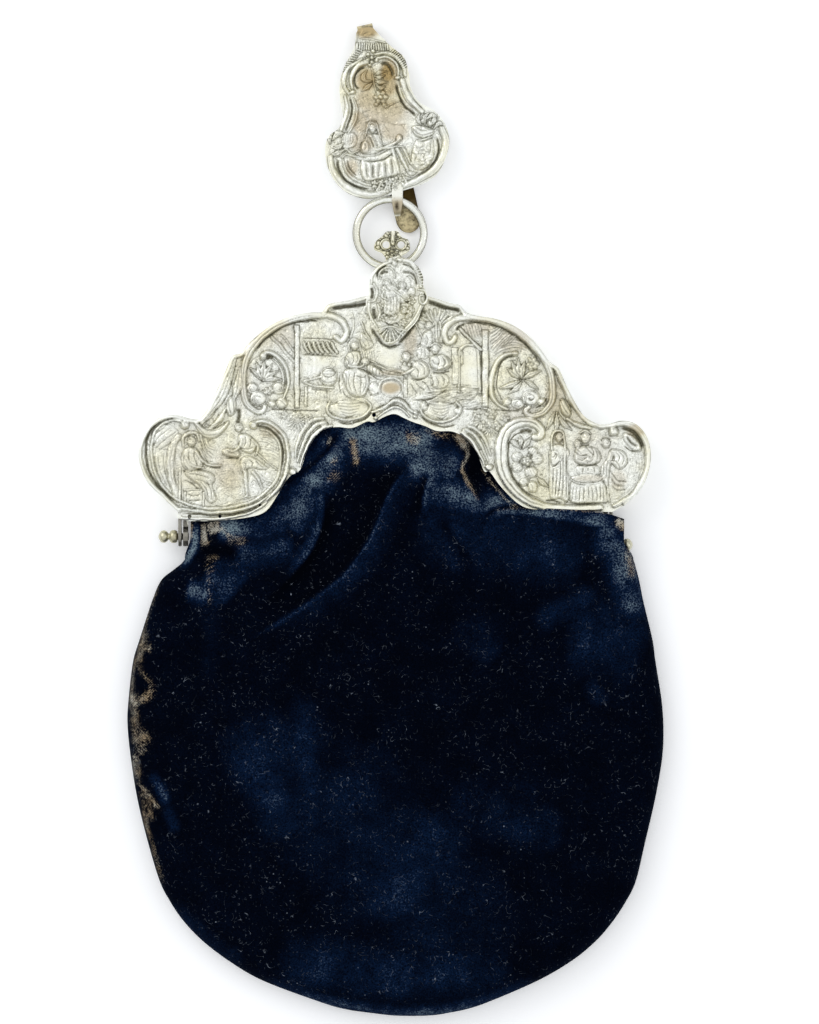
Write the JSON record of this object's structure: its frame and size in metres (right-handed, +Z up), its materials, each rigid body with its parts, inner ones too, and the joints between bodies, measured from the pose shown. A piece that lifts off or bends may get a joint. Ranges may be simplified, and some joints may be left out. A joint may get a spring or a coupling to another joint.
{
  "type": "silver frame bag",
  "caption": "Flat round velvet pouch on a hinged silver frame with raised relief, a shield-shaped clasp flap, a ring and a pear-shaped belt hook, lying on its back.",
  "frame": {"origin": "middle of the bag's outline on the surface it lies on", "axes": "+Y from the bottom of the pouch to the belt hook, +X to the right seen from the front, +Z up out of the front"},
  "size_m": [0.1721, 0.3223, 0.0173],
  "materials": {
    "silver": "raised and chased silver, polished on the high places, with warm tarnish in the hollows",
    "tarnished_silver": "turned silver with yellow tarnish",
    "velvet": "dark blue cut-pile velvet, worn at the edges"
  },
  "bodies": {
    "bag": {"front_frame": "silver", "back_frame": "silver", "hinge_pin_left": "tarnished_silver", "hinge_pin_right": "tarnished_silver", "clasp_pin": "tarnished_silver", "suspension_ring": "silver", "belt_hook": "silver", "velvet_pouch": "velvet"},
    "clasp": {"clasp_flap": "silver"}
  },
  "joints": [
    {"name": "clasp_hinge", "type": "hinge", "parent": "bag", "child": "clasp", "pos_m": [0.0005, 0.08, 0.011], "axis": [-1, 0, 0], "range_deg": [0, 75]}
  ]
}
